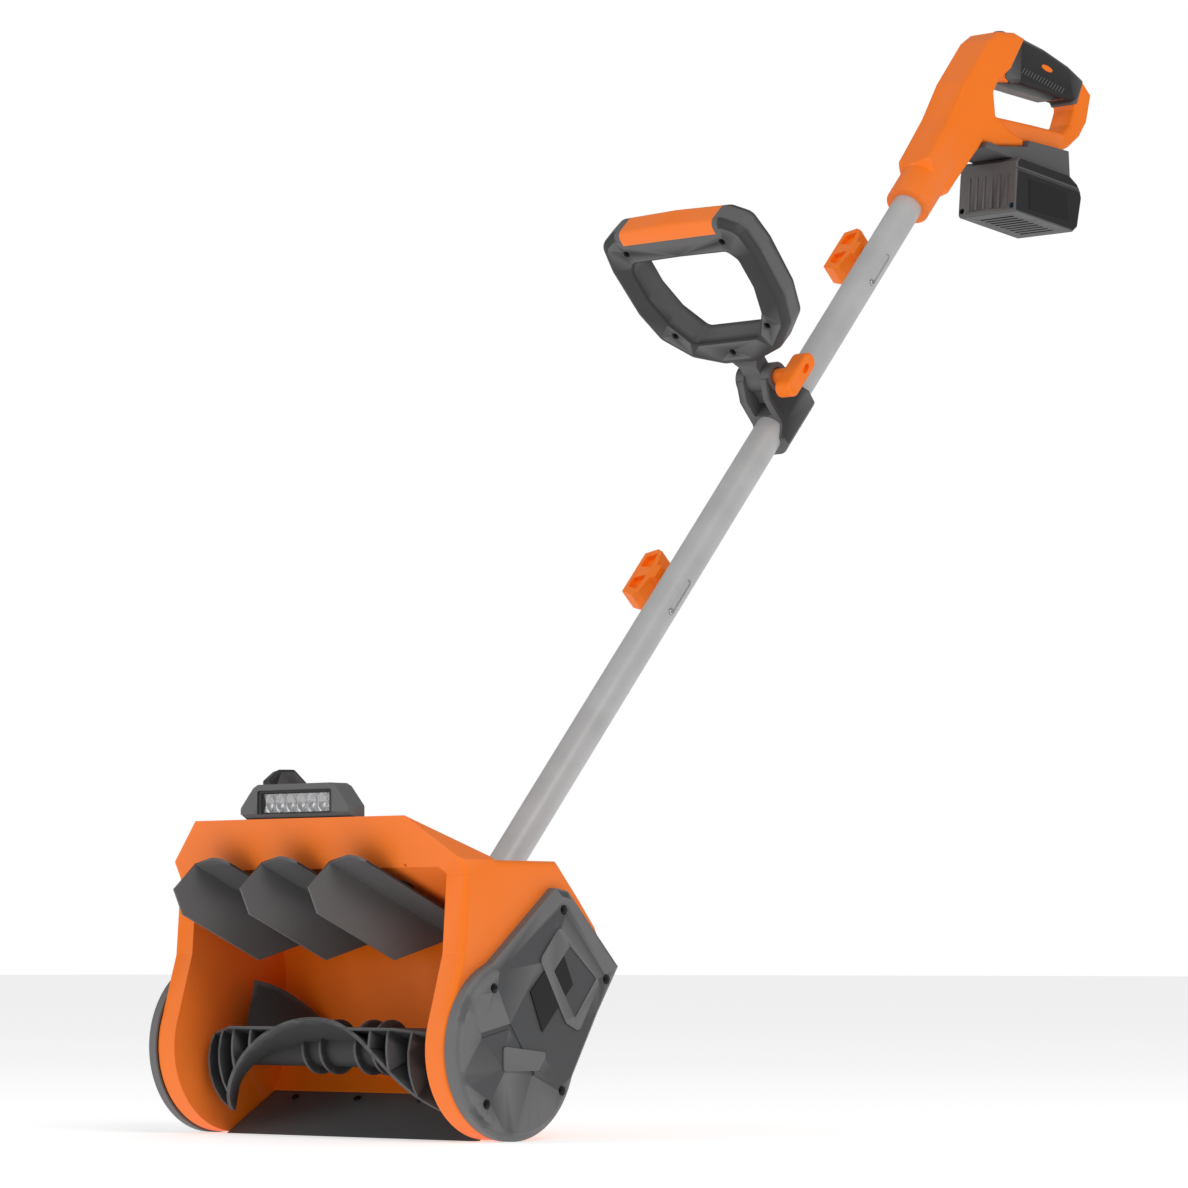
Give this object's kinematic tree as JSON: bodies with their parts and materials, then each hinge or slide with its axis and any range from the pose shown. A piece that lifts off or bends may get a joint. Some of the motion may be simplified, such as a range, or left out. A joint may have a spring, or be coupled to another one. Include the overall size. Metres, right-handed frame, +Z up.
{
  "type": "single stage snowblower",
  "caption": "Cordless powered snow shovel: auger in an open mouth, three steerable deflector vanes, lamp, telescoping shaft, tilting front loop handle, rear trigger handle and slide-in battery.",
  "frame": {"origin": "centre of the scraper's flat wear edge, where the machine rests on the ground", "axes": "+X to the operator's right, +Y from the mouth back to the operator, +Z up; the mouth faces -Y and the shaft climbs towards +Y and +Z"},
  "size_m": [0.3972, 1.2527, 1.1642],
  "materials": {
    "orange_plastic": "orange moulded housing plastic, satin",
    "grey_plastic": "dark grey moulded plastic, fine texture",
    "black_plastic": "black moulded plastic",
    "soft_black": "soft textured grip skin",
    "auger_rubber": "dark grey rubber-like auger",
    "grey_paint": "light grey painted tube",
    "steel": "zinc plated steel",
    "dark_steel": "black screws",
    "belt_rubber": "black ribbed belt",
    "clear_lens": "clear lens",
    "board": "lamp and motor circuit boards",
    "cell_wrap": "wrapped cells, density of a whole cell"
  },
  "bodies": {
    "blower_head": {"auger_housing": "orange_plastic", "rear_cover": "orange_plastic", "deck_cover": "orange_plastic", "deck_screws": "dark_steel", "right_side_cover": "grey_plastic", "left_side_cover": "grey_plastic", "side_cover_screws": "dark_steel", "scraper": "black_plastic", "scraper_screws": "dark_steel", "lamp_housing": "grey_plastic", "lamp_lens": "clear_lens", "lamp_led_board": "board", "auger_bearings": "steel", "motor_can": "steel", "motor_mount": "steel", "drive_belt": "belt_rubber", "motor_controller": "board", "lower_tube": "grey_paint", "tube_bolts": "steel"},
    "auger": {"auger_rotor": "auger_rubber", "auger_shaft": "steel", "driven_pulley": "black_plastic"},
    "motor_rotor": {"motor_shaft": "steel", "motor_pulley": "black_plastic"},
    "vane_1": {"vane_1": "grey_plastic", "vane_crank_1": "black_plastic", "direction_lever": "black_plastic", "lever_screw": "dark_steel"},
    "vane_2": {"vane_2": "grey_plastic", "vane_crank_2": "black_plastic"},
    "vane_3": {"vane_3": "grey_plastic", "vane_crank_3": "black_plastic"},
    "link": {"deflector_link": "black_plastic"},
    "lower_knob": {"lower_clamp_knob": "orange_plastic"},
    "middle_shaft": {"middle_tube": "grey_paint", "middle_guide_button": "steel"},
    "upper_knob": {"upper_clamp_knob": "orange_plastic"},
    "rear_unit": {"upper_tube": "grey_paint", "upper_guide_button": "steel", "rear_handle_right": "orange_plastic", "rear_handle_left": "orange_plastic", "rear_handle_screws": "dark_steel", "grip_overmould": "soft_black", "trigger_switch": "black_plastic", "battery_dock": "black_plastic"},
    "bracket": {"bracket_right": "grey_plastic", "bracket_left": "grey_plastic", "bracket_screws": "dark_steel", "pivot_bolt": "steel"},
    "aux_handle": {"aux_handle_front": "grey_plastic", "aux_handle_back": "grey_plastic", "aux_grip_insert": "orange_plastic", "aux_handle_screws": "dark_steel"},
    "aux_knob": {"aux_knob": "orange_plastic"},
    "trigger": {"trigger": "grey_plastic"},
    "lock_button": {"lock_off_button": "grey_plastic"},
    "battery": {"battery_case": "black_plastic", "battery_lid": "black_plastic", "battery_cells": "cell_wrap"},
    "battery_latch": {"battery_latch": "black_plastic"}
  },
  "joints": [
    {"name": "auger_spin", "type": "hinge", "parent": "blower_head", "child": "auger", "pos_m": [0, 0.0066, 0.081], "axis": [1, 0, 0], "continuous": true},
    {"name": "motor_spin", "type": "hinge", "parent": "blower_head", "child": "motor_rotor", "pos_m": [0.166, 0.1026, 0.14], "axis": [1, 0, 0], "continuous": true},
    {"name": "vane_1_turn", "type": "hinge", "parent": "blower_head", "child": "vane_1", "pos_m": [-0.086, -0.0244, 0.2195], "axis": [0, 0.5, 0.866], "range_deg": [0, 36]},
    {"name": "vane_2_turn", "type": "hinge", "parent": "blower_head", "child": "vane_2", "pos_m": [0, -0.0244, 0.2195], "axis": [0, 0.5, 0.866], "range_deg": [0, 36]},
    {"name": "vane_3_turn", "type": "hinge", "parent": "blower_head", "child": "vane_3", "pos_m": [0.086, -0.0244, 0.2195], "axis": [0, 0.5, 0.866], "range_deg": [0, 36]},
    {"name": "link_turn", "type": "hinge", "parent": "vane_1", "child": "link", "pos_m": [-0.0792, 0.00197, 0.22333], "axis": [0, 0.5, 0.866], "range_deg": [-36, 0]},
    {"name": "lower_knob_turn", "type": "hinge", "parent": "blower_head", "child": "lower_knob", "pos_m": [-0.03, 0.46462, 0.53695], "axis": [1, 0, 0], "continuous": true},
    {"name": "middle_slide", "type": "slide", "parent": "blower_head", "child": "middle_shaft", "axis": [0, 0.6674, 0.7447], "range_m": [0, 0.036]},
    {"name": "upper_knob_turn", "type": "hinge", "parent": "middle_shaft", "child": "upper_knob", "pos_m": [-0.03, 0.78796, 0.89777], "axis": [1, 0, 0], "continuous": true},
    {"name": "upper_slide", "type": "slide", "parent": "middle_shaft", "child": "rear_unit", "axis": [0, 0.6674, 0.7447], "range_m": [0, 0.036]},
    {"name": "bracket_slide", "type": "slide", "parent": "middle_shaft", "child": "bracket", "axis": [0, 0.6674, 0.7447], "range_m": [-0.08, 0.08]},
    {"name": "aux_tilt", "type": "hinge", "parent": "bracket", "child": "aux_handle", "pos_m": [0, 0.59283, 0.74701], "axis": [1, 0, 0], "range_deg": [-40, 60]},
    {"name": "aux_knob_turn", "type": "hinge", "parent": "bracket", "child": "aux_knob", "pos_m": [0.03, 0.59283, 0.74701], "axis": [1, 0, 0], "continuous": true},
    {"name": "trigger_pull", "type": "hinge", "parent": "rear_unit", "child": "trigger", "pos_m": [0, 1.1046, 1.112], "axis": [-1, 0, 0], "range_deg": [0, 5], "stiffness_Nm_per_rad": 0.5, "springref_deg": -5.73},
    {"name": "lock_press", "type": "slide", "parent": "rear_unit", "child": "lock_button", "axis": [0, 0, -1], "range_m": [0, 0.003], "stiffness_N_per_m": 400, "springref_m": -0.002},
    {"name": "battery_slide", "type": "slide", "parent": "rear_unit", "child": "battery", "axis": [0, 0.9957, -0.0924], "range_m": [0, 0.095]},
    {"name": "latch_press", "type": "slide", "parent": "battery", "child": "battery_latch", "axis": [0, -0.0924, -0.9957], "range_m": [0, 0.0025], "stiffness_N_per_m": 400, "springref_m": -0.002}
  ],
  "couplings": [
    {"joint": "motor_spin", "follows": "auger_spin", "ratio": 3.1818},
    {"joint": "vane_2_turn", "follows": "vane_1_turn", "ratio": 1},
    {"joint": "vane_3_turn", "follows": "vane_1_turn", "ratio": 1},
    {"joint": "link_turn", "follows": "vane_1_turn", "ratio": -1}
  ]
}
